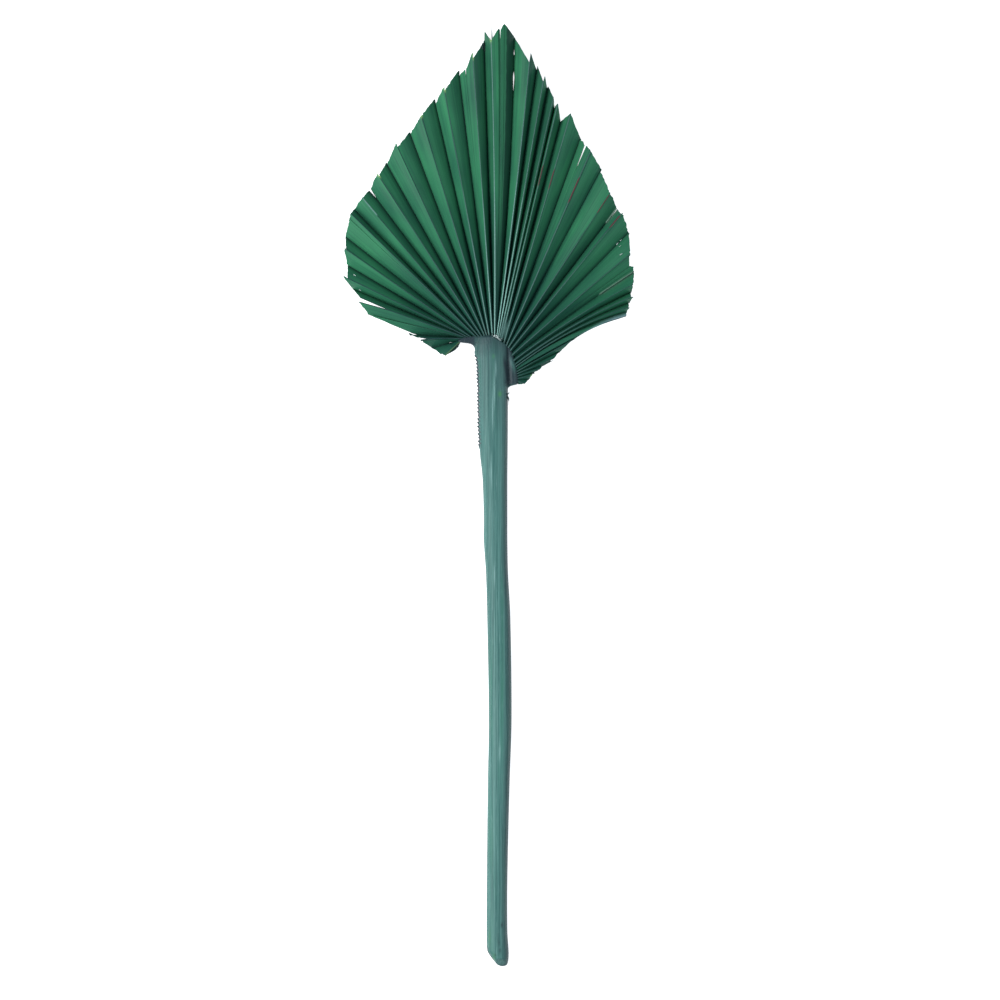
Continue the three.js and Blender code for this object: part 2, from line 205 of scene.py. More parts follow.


# Every fold from the lower left round to the lower right: its bearing at the rim, in degrees
# clockwise from +Y, and its reach from the hub.
#   tooth  length past the rim on the outer side of the fold, and back on its inner side
#   slit   share of its length at which a slit starts, and gape its width at the rim
#   holes  pairs of shares between which a short hole is open
#   bow    how far the middle of the fold bends to its clockwise side
#   rise   height of the fold at the hub and at the rim, as a share of the usual height
#   brown  shares between which its rib is reddish brown, and lit those between which it is pale
#   plain  it has no rib
#   pith   how much fresh green pith its cut end shows, and fresh the same all along
#   under  the pale underside shows here near the rim
#   shade  how much painted shade darkens the strip after it
#   frayed the edge of its slit is torn and pale
FOLDS = [
    valley(-93.7, 18.6, root=0.2, rise=(0, 0), shade=0.8),
    crest(1.2, -102.4, 25.6, fresh=0.35),
    valley(-92.2, 32, holes=((0.2, 0.5),), gape=0.45),
    crest(2.7, -85.3, 37.4, slit=0.82, gape=1),
    valley(-82.4, 41, tooth=2.4, slit=0.9, gape=0.8),
    bend(-76.5, 65.2),
    crest(4, -71.5, 71.4, slit=0.72, gape=2),
    valley(-68.3, 76.7),
    crest(5.1, -65.6, 81, tooth=2.4),
    valley(-61.5, 84),
    crest(6.6, -57.3, 88.5, tooth=1),
    valley(-54, 92.5),
    bend(-49, 96.4),
    crest(9.2, -47.6, 97.6),
    valley(-46, 98),
    crest(10.7, -42, 99, lit=(0.88, 1)),
    valley(-38.8, 100, slit=0.925, gape=1.2),
    crest(12.2, -34.5, 102.4, tooth=1.3, pith=1),
    valley(-30.8, 105.5, tooth=0.8),
    crest(13.8, -26.2, 110.2, tooth=1.9),
    valley(-21.8, 113.9, tooth=1),
    crest(14.9, -17.8, 120.4, pith=1),
    valley(-13.8, 124.4, tooth=2.4),
    crest(16.3, -11.2, 129.8, tooth=1.6, pith=1),
    valley(-7.5, 136.2, tooth=2.6),
    bend(-6.1, 138.6, slit=0.965, gape=0.6),
    crest(18, -4.4, 143.6, tooth=3, pith=1, shade=0.3),
    valley(-2, 152, back=5, shade=0.35),
    crest(19.3, -0.7, 152.4, bow=0.8, pith=1, shade=0.12),
    bend(0.62, 158, shade=0.15),
    bend(0.95, 157.6, slit=0.965, gape=0.35, shade=0.25),
    bend(1.64, 160.7, shade=0.4),
    crest(20, 2.1, 159.4, rise=(0.1, 0.8), bow=1.2, plain=1, shade=0.75),
    valley(3.6, 154.4, holes=((0.8, 0.895), (0.935, 0.957)), gape=0.95, bow=1.9),
    crest(20.8, 6.9, 142.3, tooth=4.4, bow=0.9, shade=0.3),
    valley(8.6, 139.2, tooth=2.1, shade=0.45),
    crest(22, 10.4, 133.8, tooth=2.8),
    valley(11.5, 131.4, tooth=0.8, shade=0.5),
    crest(23.1, 13.3, 127),
    valley(14.05, 122.4, rise=(-0.9, 1)),
    crest(24.5, 14.6, 124.6, brown=(0.66, 0.74), shade=0.3),
    valley(16.3, 116.5, shade=0.35),
    crest(26.4, 18.1, 121.8, brown=(0.67, 0.76)),
    valley(22.4, 112, shade=0.15),
    bend(24.4, 109.6, slit=0.865, gape=1, shade=0.15),
    crest(32.2, 26.3, 108, brown=(0.745, 0.86)),
    valley(31.2, 100, tooth=1.8, back=2.6),
    crest(34.7, 37.2, 95.2, brown=(0.88, 0.99), shade=0.3),
    valley(41.9, 91.7, slit=0.9, gape=0.5, frayed=1),
    crest(36.7, 43.9, 91, tooth=0.8, brown=(0.9, 0.98)),
    valley(50, 87.2, tooth=0.6),
    crest(39.5, 56, 81.4, bow=-0.4),
    bend(59.6, 77.9),
    bend(60.4, 79.6),
    valley(62.3, 78.4, bow=-0.9, slit=0.72, gape=0.25, frayed=1),
    crest(42.5, 66.4, 75.4, bow=-1.5),
    valley(68.8, 73.2, bow=-1.9),
    crest(44.7, 70.6, 72, bow=-2.2, tooth=1.2),
    valley(72.5, 70.4, bow=-2.5),
    crest(46.1, 74.2, 69.2, bow=-2.8, tooth=0.6),
    valley(75.8, 68.2, bow=-3.1),
    bend(77.6, 67.2, bow=-3.5, under=1),
    crest(47.3, 78.9, 53.4, bow=-0.6, under=0.35, plain=1),
    valley(81.6, 45.6),
    crest(48.5, 86, 39.2),
    valley(95.2, 32.7),
    crest(49.7, 104, 29.4),
    valley(111, 27),
    crest(51, 119, 25),
    valley(124, 24),
    crest(52.3, 130, 23.9, pith=1),
    valley(135, 24.1),
    crest(53.6, 142, 24.4),
    valley(149, 22.6, root=54.6),
]


# Shape of the stalk, in millimetres

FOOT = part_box("stalk")[0][1] / MM
# Stations from the cut end to the top: y, left edge, right edge, thickness.
STALK = [
    (FOOT, 6.2, 8, 2.6),
    (-235.2, 4.8, 9.1, 4.6),
    (-234.2, 3.8, 9.6, 6),
    (-232.4, 2.3, 10, 6.8),
    (-229.6, 0.3, 10.15, 7.2),
    (-227.5, -0.6, 10.1, 7.3),
    (-218, -0.9, 9.5, 7.4),
    (-192, -0.8, 9.5, 7.4),
    (-144, -0.3, 10.6, 7.6),
    (-112, 0.2, 11.6, 7.8),
    (-62, -0.6, 11, 7.9),
    (-38, -1.3, 9.8, 8),
    (-21.5, -2.4, 9.5, 8),
    (-12, -2.3, 9.5, 8.1),
    (9, -3, 9.5, 8.3),
    (20, -4.2, 9.6, 8.5),
    (32.5, -4.9, 9.7, 8.8),
    (55, -5.3, 9.8, 9.2),
    (66, -5.8, 10, 9.2),
    (69, -6.2, 10.1, 9.1),
    (71, -7, 10.2, 9),
    (74.4, -6.5, 10, 8.7),
    (77.6, -5.8, 9.6, 8.2),
    (81, -4, 9, 7.6),
]
# Edges of the collar that carries the blade: (y, x) going up.
COLLAR_LEFT = [
    (72.8, -6.8),
    (74, -7.1),
    (75, -7.9),
    (75.6, -9),
    (76, -10.6),
    (76.2, -12.4),
    (76.4, -15),
    (77.6, -15.4),
    (78.6, -13),
    (79.5, -8),
    (80, -2.4),
    (80.3, 0),
]
COLLAR_RIGHT = [
    (53.4, 9.8),
    (54, 10.2),
    (54.6, 11.2),
    (55, 12.6),
    (55.3, 14.2),
    (55.8, 14.9),
    (59, 15),
    (62.5, 14.5),
    (65.1, 13.9),
    (68.6, 13),
    (71.2, 12.3),
    (73.9, 11.3),
    (75.2, 9.9),
    (77, 6.6),
    (79.4, 2.8),
    (80.3, 0.4),
]
COLLAR_TOP = 80.3
COLLAR_TOP_SLOPE = 0.9
COLLAR_HEIGHT = 5.7
COLLAR_FROM = 50  # the collar starts to swell here
COLLAR_RUN = 8
COLLAR_UNDER = 1.2  # how far it hangs below the widest part of the stalk
# The shoulder on the collar's right side: its swelling, and the groove between it and the stalk.
RIDGE_IN = 1.6  # from the right edge of the collar in to the top of the swelling
RIDGE_WIDTH = 1.3
RIDGE_HEIGHT = 0.4
RIDGE_MIDDLE = 65.6
RIDGE_HALF = 3.4
GROOVE_FOOT = Vector((10, 56))
GROOVE_HEAD = Vector((8.2, 68))
GROOVE_WIDTH = 1.5
GROOVE_DEPTH = 1.1
GROOVE_OPENS = (52, 57)
GROOVE_CLOSES = (75, 66)
# How dark each part is made, and the stretch of x or y over which it comes in: painted shade in the groove,
# on the arm and shoulder, towards the lip and along the right edge; darker towards the top; dark saw teeth
# and a dark line round the cut end.
GROOVE_SHADE = 0.95
ARM_SHADE = 0.95
ARM_ACROSS = (-3, -8)
ARM_UP = (72, 75)
SHOULDER_SHADE = 0.92
SHOULDER_ACROSS = (6, 9.5)
SHOULDER_UP = (52, 56)
# The paler top of the swelling is a painted highlight within the painted shade.
SHOULDER_HIGHLIGHT = 0.65  # how much paler the top of the swelling is
HEAD_DARK = 0.3
HEAD_UP = (30, 62)
LIP_SHADE = 0.45
LIP_UP = (68, 79)
FLANK_SHADE = 0.75
FLANK_WIDTH = 3.2
END_DARK = 0.8
END_EDGE = (0.8, 0.2)  # distance from the edge, where the dark line starts and where it is full
# Spots on the stalk: x, y, half width, half length, the layer that it marks and how strongly.
SPOTS = [
    (5.8, 50.6, 0.9, 1.3, "fresh", 0.9),
    (2.6, 69.4, 0.7, 1, "fresh", 0.4),
    (0.6, -221, 0.5, 4, "fresh", 0.45),
    (2.8, -231, 0.8, 2, "fresh", 0.4),
    (6.8, -214.4, 0.6, 0.7, "dark", 1),
    (4.6, -220.4, 1.2, 1, "dark", 0.4),
    (5.3, -223, 0.7, 1.3, "dark", 0.5),
    (5.8, -227.4, 0.7, 1.4, "dark", 0.5),
    (3.4, -229.8, 0.4, 0.6, "dark", 0.7),
    (5.6, -128.5, 0.4, 4, "pale", 1),
    (2.9, 52, 0.35, 8, "pale", 1),
    (2.1, 42, 0.3, 9, "pale", 1),
    (3.7, 63, 0.3, 4, "pale", 1),
    (3, -40, 0.3, 5, "pale", 1),
    (1.4, 12, 0.3, 6, "pale", 1),
]
BELT = 0.44  # height of the widest part, as a share of the thickness
EDGE_ROUND = 1.4  # how far in from its edges the stalk is rounded
FLAT_HALF = 2  # half the width of the strip that the stalk lies on
FLAT_MOST = 0.6  # the most that it may be of the stalk's width
SAW_FROM = 23.6
SAW_TO = 70
SAW_PITCH = 1.85
SAW_DEPTH = 0.95
SAW_INSET = 0.25  # how far in from the margin the teeth start
SAW_UNEVEN = 0.7  # how much the teeth differ in depth
SAW_CHANGE = 0.7  # how quickly they change from one to the next
SAW_DARK_INNER = 0.4  # share of the dark edge that is fully dark
SAW_DARK = 1.3  # width of the dark edge of its teeth
END_CUT = -226  # below this the rows are close together and the edges are dark
END_CUT_TOP = -229  # the slanted cut ends here
END_HEIGHT = 2.4
END_SLOPE = 1.1
END_ROUGH = 0.3
# Steps between the rows of the mesh.
FINE_ROW = 0.32
SAW_ROWS = 5  # rows to a tooth
COARSE_ROW = 2.2
LAST_ROW = 0.05  # a row this close to the top is the last one
# Fibres that stand out of the surface: how close they lie across and along the stalk.
COARSE_FIBRES = (1.9, 0.03)
FINE_FIBRES = (4.1, 0.06)
FINE_SHARE = 0.5

FIBRE_TIP = 0.25  # thickness of a fibre's tip, as a share of its root's
# Loose fibres: thickness, then the points that each runs through, as x, y, z.
FIBRES = [
    (0.6, (1.9, 227, 6.4), (1.75, 231, 6.6), (1.6, 234.6, 6.9)),
    (0.22, (-3, 225.2, 3.3), (-4.1, 227.8, 4.2), (-4.8, 229, 5)),
    (0.2, (-3.8, 224.4, 4.2), (-4.3, 225, 4.5), (-4.8, 225.8, 5)),
    (1, (-2.1, 223.6, 2.6), (-2.6, 225.6, 3.2), (-2.2, 227.4, 3.5)),
    (1, (-2.9, 223, 3.7), (-3.3, 224.8, 4.1), (-3, 226, 4.4)),
    (0.5, (-1.6, 222, 2.8), (-2, 224, 2.6), (-1.6, 226.6, 3.1)),
    (0.2, (21, 218.4, 7.1), (21.1, 220, 7.1), (21.05, 221.2, 7.2)),
    (0.6, (28.2, 65.4, 3.8), (30.8, 66.6, 5.4), (32.6, 67.5, 5.8)),
    (0.5, (28.7, 66.6, 6.2), (30.2, 67.3, 6.4), (31.6, 67.9, 6.4)),
    (1.1, (8.9, 49.8, 5), (9.8, 50.8, 5.8), (10.5, 51.3, 6.4)),
    (1.2, (8.9, 49.8, 5), (10.2, 49, 5.6), (10.2, 46.9, 4.6)),
    (0.2, (10.4, 48.4, 5.4), (10.1, 46.6, 4.8), (10, 45, 4)),
    (0.24, (-37.4, 80.2, 3.7), (-38.8, 80.6, 3.2), (-40, 80.9, 3.4)),
    (0.24, (-72.1, 109.3, 5.6), (-72.2, 110.4, 4.6), (-71.4, 111, 3.8)),
]

# Torn scraps: x, y, length, width, turn and curl in degrees.
SCRAPS = [
    (3, 79.7, 1.3, 0.8, 60, 50),
    (3.6, 79, 1.4, 0.8, 20, 70),
    (4.2, 79.6, 1.2, 0.7, -30, 60),
    (4.7, 78.6, 1.4, 0.8, -55, 80),
    (5.3, 78, 1.3, 0.7, -40, 80),
    (5.8, 77.2, 1.1, 0.6, 80, 50),
    (64.6, 125.9, 1.3, 0.35, 50, 40),
    (66.3, 127.6, 1.1, 0.3, 35, 50),
    (65.9, 124.6, 1.2, 0.25, 30, 30),
    (66.4, 120.5, 1.6, 0.3, 30, 30),
    (-66.8, 110, 1.4, 0.3, -25, 30),
    (-64.2, 102.6, 1.2, 0.3, -35, 30),
]
# The frayed zone along the lip, where many small scraps lie close together.
FRAY_FROM = Vector((-1.5, 80.6))
FRAY_TO = Vector((9.4, 76.4))
FRAY_COUNT = 26
FRAY_DEPTH = 2.6  # how far they reach up from the lip
PALE_AT = 4.4  # where they are palest
PALE_HALF = 1.8
# Length, width, turn and curl of the small scraps: the middle value, then how much it varies.
FRAY_LONG = (0.9, 0.5)
FRAY_WIDE = (0.3, 0.15)
FRAY_TURN = (70, 90)
FRAY_CURL = (50, 60)
FRAY_CHANGE = Vector((3.7, 5.1))  # step in the noise from scrap to scrap and from value to value
SCRAP_COLUMNS = 4
SCRAP_ROWS = 8
SCRAP_TAPER = 0.5
SCRAP_ARCH = 0.3  # rise of a curled scrap, as a share of its length
SCRAP_CRINKLE = 0.15
SCRAP_LIFT = 0.15  # height over what it lies on
SCRAP_SKIN = 0.12


# Reading the tables


def mix(a, b, share):
    """The value at a share of the way from a to b."""
    return a + (b - a) * share


def at_place(table, place):
    """Linear reading of a table of (place, value) rows."""
    for (p0, v0), (p1, v1) in zip(table, table[1:]):
        if place <= p1:
            return mix(v0, v1, max(0, (place - p0) / (p1 - p0)))
    return table[-1][1]


def smooth_at_place(table, place):
    """Reading of a table of rows (place, value, value, ...) without kinks: a cubic through the rows."""
    place = min(max(place, table[0][0]), table[-1][0])
    i = next(i for i in range(1, len(table)) if place <= table[i][0])
    before, a, b, after = table[max(i - 2, 0)], table[i - 1], table[i], table[min(i + 1, len(table) - 1)]
    run = b[0] - a[0]
    s = (place - a[0]) / run
    values = []
    for k in range(1, len(a)):
        out = run * (b[k] - before[k]) / (b[0] - before[0])
        into = run * (after[k] - a[k]) / (after[0] - a[0])
        values.append(
            (2 * s**3 - 3 * s**2 + 1) * a[k]
            + (s**3 - 2 * s**2 + s) * out
            + (3 * s**2 - 2 * s**3) * b[k]
            + (s**3 - s**2) * into
        )
    return values


def ramp(value, start, end):
    """How far a value has come on its way from start to end, from 0 to 1."""
    return min(1, max(0, (value - start) / (end - start)))


def hump(value, middle, half):
    """A smooth rise to 1 round a middle."""
    return math.exp(-(((value - middle) / half) ** 2))


def arc(share):
    """A curve that is 0 at both ends and 1 in the middle."""
    return 4 * share * (1 - share)


def wobble(x, y, layer):
    """Smooth noise from about -1 to 1 at a place on one of its layers."""
    return noise.noise(Vector((x, y, layer)))


def lip_point(length):
    """The point at a length along the lip."""
    for a, b in zip(LIP, LIP[1:]):
        step = math.dist(a, b)
        if length <= step or b == LIP[-1]:
            return Vector(a).lerp(Vector(b), length / step)
        length -= step


# Making meshes

WELD = 1e-7  # vertices this close together, in metres, become one


def add_sheet(bm, columns, rows, place):
    """Adds a grid to bm and lets place(vertex, column, row) put each vertex."""
    made = bmesh.ops.create_grid(bm, x_segments=columns, y_segments=rows, size=0.5)["verts"]
    for vert in made:
        place(vert, round((vert.co.x + 0.5) * columns), round((vert.co.y + 0.5) * rows))
    return made


def finished(name, bm, material, slot, *nodes):
    """Turns bm into a piece of the leaf that rides on its one body and stands for the nodes."""
    bmesh.ops.remove_doubles(bm, verts=bm.verts, dist=WELD)
    for face in bm.faces:
        face.smooth = True
    mesh = bpy.data.meshes.new(name)
    bm.to_mesh(mesh)
    bm.free()
    mesh.materials.append(material)
    piece = bpy.data.objects.new(name, mesh)
    bpy.context.scene.collection.objects.link(piece)
    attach(piece, "root")
    if nodes:
        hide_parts(*nodes)
    return piece


# The blade


def fold_lines():
    """The folds and bends with their feet, rims and neighbours worked out."""
    lines = [SimpleNamespace(**vars(f)) for f in FOLDS]
    folds = [f for f in lines if f.level]
    for i, f in enumerate(folds):
        if not hasattr(f, "root"):
            f.root = (folds[i - 1].root + folds[i + 1].root) / 2
        f.before = folds[max(i - 1, 0)]
        f.after = folds[min(i + 1, len(folds) - 1)]
    for f in lines:
        fill_in(f)
    for f in folds:
        f.panel_share = 0
        lip = lip_point(f.root)
        f.foot = lip - (f.rim - lip).normalized() * at_place(TUCK, f.root)
    for i, f in enumerate(lines):
        if not f.level:
            f.before = next(g for g in reversed(lines[:i]) if g.level)
            f.after = next(g for g in lines[i:] if g.level)
            f.panel_share = (f.at - f.before.at) / (f.after.at - f.before.at)
            f.foot = f.before.foot.lerp(f.after.foot, f.panel_share)
            f.bow = f.bow or mix(f.before.bow, f.after.bow, f.panel_share)
    return lines


def fill_in(line):
    """Gives a line its place at the rim, and a value for all that the table leaves out."""
    turn = math.radians(line.at)
    line.rim = HUB + line.reach * Vector((math.sin(turn), math.cos(turn)))
    line.out = (line.rim - HUB).normalized()
    line.across = Vector((line.out.y, -line.out.x))  # clockwise
    for name in SIZES + LOOKS:
        setattr(line, name, getattr(line, name, 0))
    line.holes = getattr(line, "holes", ())
    line.rise = getattr(line, "rise", (at_place(FOLD_RISE, line.at),) * 2)
    if line.at < APEX:
        line.tooth_before, line.tooth_after = line.tooth, line.back
    else:
        line.tooth_before, line.tooth_after = line.back, line.tooth


def on_line(line, v):
    """Where a fold is at a share of the way from foot to rim."""
    return line.foot.lerp(line.rim, v) + line.across * arc(v) * line.bow


def fold_height(line, v, pleat_depth):
    """Height of a fold over the middle of the pleats."""
    if not line.level:
        low, high = (fold_height(f, v, pleat_depth) for f in (line.before, line.after))
        return mix(low, high, line.panel_share)
    near = [f for f in (line.before, line.after) if f is not line]
    panel = sum((on_line(f, v) - on_line(line, v)).length for f in near) / len(near)
    return line.level * mix(*line.rise, v) * min(pleat_depth, STEEPEST * panel) / 2


def slit_shift(line, v):
    """Half the width of a fold's slit or hole at a share of its length."""
    if line.slit and v > line.slit:
        return line.gape / 2 * (v - line.slit) / (1 - line.slit)
    for start, end in line.holes:
        if start < v < end:
            along = (v - start) / (end - start)
            return line.gape / 2 * min(along / HOLE_WIDEST, (1 - along) / (1 - HOLE_WIDEST))
    return 0


def strip_shares(width):
    """Places of a strip's columns across it: close beside its folds and wide in the middle."""
    count = max(FEWEST_COLUMNS, min(MOST_COLUMNS, round(width / COLUMN)))
    edge = min(RIB_STEP / width, RIB_STEP_SHARE)
    inner = [mix(edge, 1 - edge, (1 - math.cos(math.pi * k / count)) / 2) for k in range(count + 1)]
    return [0, *inner, 1]


def rim_at(a, b, share, shares):
    """The rim of the strip between two lines, with its ragged cut and the tooth beside each fold."""
    rim = a.rim.lerp(b.rim, share)
    if not 0 < share < 1:
        return rim
    out = (rim - HUB).normalized()
    edge = (b.rim - a.rim).normalized()
    away = Vector((-edge.y, edge.x))
    along = (share - shares[1]) / (shares[-2] - shares[1])
    ragged = wobble(rim.x * RAG_FINENESS, rim.y * RAG_FINENESS, NOISE.rag)
    ragged *= at_place(RAGGED, mix(a.at, b.at, share))
    return rim + out * mix(a.tooth_after, b.tooth_before, along) + away * ragged * away.dot(out)


def tooth_tip(line, length):
    """The tip of the tooth beside a fold."""
    return line.rim + line.out * length + line.across * TOOTH_LEAN


def within(shares, v):
    """Whether a share lies in a stretch that a fold may have."""
    return bool(shares) and shares[0] < v < shares[1]


class Strip:
    """The strip of blade between two neighbouring lines: a, and clockwise of it b."""

    def __init__(self, a, b, start, settings):
        self.a = a
        self.b = b
        self.start = start  # its place round the rim
        self.width = math.radians(abs(b.at - a.at)) * (a.reach + b.reach) / 2
        self.shares = strip_shares(self.width)
        self.panel = (a.panel_share, b.panel_share or 1)
        self.arch = settings.arch
        self.depth = settings.depth / MM
        self.rib_half = settings.rib_half / MM
        self.rib_high = settings.rib_high / MM

    def plan(self, column, v):
        """Where a column lies, seen from above, at a share of the way from foot to rim."""
        a, b = self.a, self.b
        if v == 1 and column == 1 and a.tooth_after:
            return tooth_tip(a, a.tooth_after)
        if v == 1 and column == len(self.shares) - 2 and b.tooth_before:
            return tooth_tip(b, b.tooth_before)
        share = self.shares[column]
        apart = mix(slit_shift(a, v), -slit_shift(b, v), share)
        bow = arc(v) * mix(a.bow, b.bow, share)
        straight = a.foot.lerp(b.foot, share).lerp(rim_at(a, b, share, self.shares), v)
        return straight + a.across.lerp(b.across, share) * (apart + bow)

    def sides(self, share, width):
        """Both lines, each with the distance to it and how far the painted shade of its valley reaches this
        way.
        """
        return (self.a, share * width, VALLEY_SHADE_AFTER), (self.b, (1 - share) * width, VALLEY_SHADE_BEFORE)

    def pleat(self, share, v, width):
        """Height over the middle of the pleats."""
        folded = mix(fold_height(self.a, v, self.depth), fold_height(self.b, v, self.depth), share)
        return folded + self.arch * width * math.sin(math.pi * mix(*self.panel, share))

    def cord(self, line, away, v, width):
        """How thick and how pale the cord on a crest is at a distance from the fold."""
        if line.level <= 0 or line.plain:
            return 0, 0
        at_rim, at_hub = smooth_at_place(RIB_SHINE, line.at)
        pallor = LIT if within(line.lit, v) else mix(at_hub, at_rim, ramp(v, *RIB_FADES))
        half = self.rib_half * mix(RIB_AT_HUB, 1, v) * mix(RIB_DIM, 1, pallor)
        half = min(half, RIB_MOST * width)
        return (1 - (away / half) ** 2, pallor) if away < half else (0, 0)

    def rib(self, share, v, width):
        """How thick and how pale the rib is."""
        return max(self.cord(line, away, v, width) for line, away, _ in self.sides(share, width))

    def crease(self, share, v, width):
        """How much painted shade there is: in the valleys, and all over a shaded strip."""
        darkest = self.a.shade
        for line, away, reach in self.sides(share, width):
            if line.level < 0:
                dark = 1 - away / min(reach, VALLEY_SHADE_MOST * width)
                darkest = max(darkest, dark * mix(*line.rise, v))
        return darkest

    def pith(self, share, v, width):
        """How green the cut end of a rib is."""
        return max(
            line.pith * hump(away, 0, PITH_HALF) * hump((1 - v) * line.reach, 0, PITH_LONG)
            for line, away, _ in self.sides(share, width)
        )


def in_patch(flat):
    """How far a point lies in the smooth patch over the lip."""
    up = flat.y - PATCH.y
    return hump(flat.x, PATCH.x + PATCH_LEAN * up, PATCH_HALF.x) * hump(up, 0, PATCH_HALF.y)


def middle_height(flat, v):
    """Height of the middle of the pleats over the floor."""
    level = MEAN_HEIGHT - DROOP * (flat.x / HALF_WIDTH) ** 2
    climb = HUB_LIFT * hump((flat - HUB).length, 0, HUB_LIFT_RUN)
    return level + climb + WAVE * v * wobble(flat.x / WAVE_PITCH.x, flat.y / WAVE_PITCH.y, NOISE.wave)


def add_strip(bm, layers, strip, rows):
    """Adds the mesh of a strip, with the values that its material reads."""
    a, b = strip.a, strip.b

    def place(vert, column, row):
        share = strip.shares[column]
        v = 1 - (1 - row / rows) ** ROW_CROWDING
        flat = strip.plan(column, v)
        width = (on_line(b, v) - on_line(a, v)).length
        rib, shine = strip.rib(share, v, width)
        pale = ramp((1 - share) * width, FRAY, 0) if b.frayed and v > b.slit else 0
        pleat = strip.pleat(share, v, width) + FRAY_LIFT * pale
        pleat += strip.rib_high * mix(1, RIB_LOW, v) * math.sqrt(rib)
        free = 1 - in_patch(flat)
        height = pleat * free + middle_height(flat, v)
        vert.co = Vector((flat.x, flat.y, max(height, LOWEST))) * MM
        rib = mix(PATCH_CORD, rib, free)
        values = {
            "rib": rib,
            "shine": mix(PATCH_PALLOR, shine, free),
            # painted shade in the valleys and over shaded strips
            "crease": strip.crease(share, v, width) * free,
            "pale": pale,
            "brown": rib if within(a.brown, v) or within(b.brown, v) else 0,
            "fresh": max(strip.pith(share, v, width), rib * max(a.fresh, b.fresh)),
            "under": mix(a.under, b.under, share) * ramp(v, *UNDER_SHOWS),
            "run": Vector((strip.start + share * strip.width, (flat - HUB).length, v)),
        }
        for name, value in values.items():
            vert[layers[name]] = value

    add_sheet(bm, len(strip.shares) - 1, rows, place)


def add_blade(settings):
    """The pleated sheet with a rib on every crest, as one mesh with a thin wall."""
    bm = bmesh.new()
    floats = bm.verts.layers.float
    names = ("rib", "shine", "crease", "pale", "brown", "fresh", "under")
    layers = {name: floats.new(name) for name in names}
    layers["run"] = bm.verts.layers.float_vector.new("run")
    lines = fold_lines()
    start = 0
    for a, b in zip(lines, lines[1:]):
        strip = Strip(a, b, start, settings)
        add_strip(bm, layers, strip, settings.rows)
        start += strip.width
    blade = finished("leaf_blade", bm, blade_material(settings), "blade", "blade")
    blade.data.materials.append(cut_edge_material(settings))
    wall = blade.modifiers.new("wall", "SOLIDIFY")
    wall.thickness = settings.skin
    wall.offset = 0
    wall.material_offset_rim = 1
    return blade


# The stalk


def stalk_height(x, y):
    """Upper and lower height of the stalk at a point, and the height of its widest part."""
    left, right, thick = smooth_at_place(STALK, y)
    half = (right - left) / 2
    out = min(1, abs(x - (left + right) / 2) / half)
    belt = BELT * thick
    top = belt + (thick - belt) * math.sqrt(1 - out**2)
    flat = min(FLAT_HALF / half, FLAT_MOST)
    bottom = belt * (1 - math.sqrt(1 - max(0, (out - flat) / (1 - flat)) ** 2))
    return top, bottom, belt


def collar_edges(y):
    """The left and right edge of the stalk with its collar and its saw."""
    left, right, _ = smooth_at_place(STALK, y)
    if y > COLLAR_LEFT[0][0]:
        left = at_place(COLLAR_LEFT, y)
    if y > COLLAR_RIGHT[0][0]:
        right = at_place(COLLAR_RIGHT, y)
    if SAW_FROM < y < SAW_TO:
        tooth, along = divmod((y - SAW_FROM) / SAW_PITCH, 1)
        uneven = 1 + SAW_UNEVEN * wobble(tooth * SAW_CHANGE, NOISE.saw, 0)
        left += SAW_INSET - SAW_DEPTH * along * uneven
    return left, right


def stalk_rows():
    """Heights up the stalk: close together at the cut end, the saw and the collar."""
    rows = [FOOT]
    while rows[-1] < COLLAR_TOP - LAST_ROW:
        y = rows[-1]
        if y < END_CUT or y > SAW_TO:
            step = FINE_ROW
        elif y > SAW_FROM:
            step = SAW_PITCH / SAW_ROWS
        else:
            step = COARSE_ROW
        rows.append(min(y + step, COLLAR_TOP))
    return rows


def in_groove(x, y):
    """How deep a point lies in the groove beside the shoulder."""
    up = (y - GROOVE_FOOT.y) / (GROOVE_HEAD.y - GROOVE_FOOT.y)
    middle = mix(GROOVE_FOOT.x, GROOVE_HEAD.x, up)
    return hump(x, middle, GROOVE_WIDTH) * ramp(y, *GROOVE_OPENS) * ramp(y, *GROOVE_CLOSES)


def on_ridge(x, y, right):
    """How near a point lies to the top of the shoulder's swelling."""
    return hump(x, right - RIDGE_IN, RIDGE_WIDTH) * hump(y, RIDGE_MIDDLE, RIDGE_HALF)


def collar_height(x, y, right):
    """Height of the collar's top face."""
    return COLLAR_HEIGHT + RIDGE_HEIGHT * on_ridge(x, y, right) - GROOVE_DEPTH * in_groove(x, y)


def stalk_end(x, y):
    """Height of the slanted cut at the foot of the stalk."""
    return END_HEIGHT + (y - FOOT) * END_SLOPE + END_ROUGH * wobble(x, y / 2, NOISE.cut_end)


def fibre_relief(x, y):
    """How far the fibres of the surface stand out, as a share of their height."""
    coarse = wobble(x * COARSE_FIBRES[0], y * COARSE_FIBRES[1], NOISE.coarse_fibre)
    fine = wobble(x * FINE_FIBRES[0], y * FINE_FIBRES[1], NOISE.fine_fibre)
    return coarse + FINE_SHARE * fine


def stalk_point(x, y, left, right, lower, fibre):
    """A point of the stalk's upper or lower face."""
    top, bottom, belt = stalk_height(x, y)
    edge = max(0, min(x - left, right - x, (COLLAR_TOP - y) * COLLAR_TOP_SLOPE))
    rounded = math.sqrt(1 - (1 - min(1, edge / EDGE_ROUND)) ** 2)
    if y > COLLAR_FROM:
        swollen = min(1, (y - COLLAR_FROM) / COLLAR_RUN)
        top = max(top, mix(belt, collar_height(x, y, right), swollen))
        bottom = min(bottom, belt - COLLAR_UNDER)
    if lower:
        z = mix(belt, bottom, rounded)
    else:
        z = mix(belt, top, rounded) + fibre * fibre_relief(x, y) * rounded
    if y < END_CUT_TOP:
        z = min(z, stalk_end(x, y))
    return Vector((x, y, max(z, 0)))


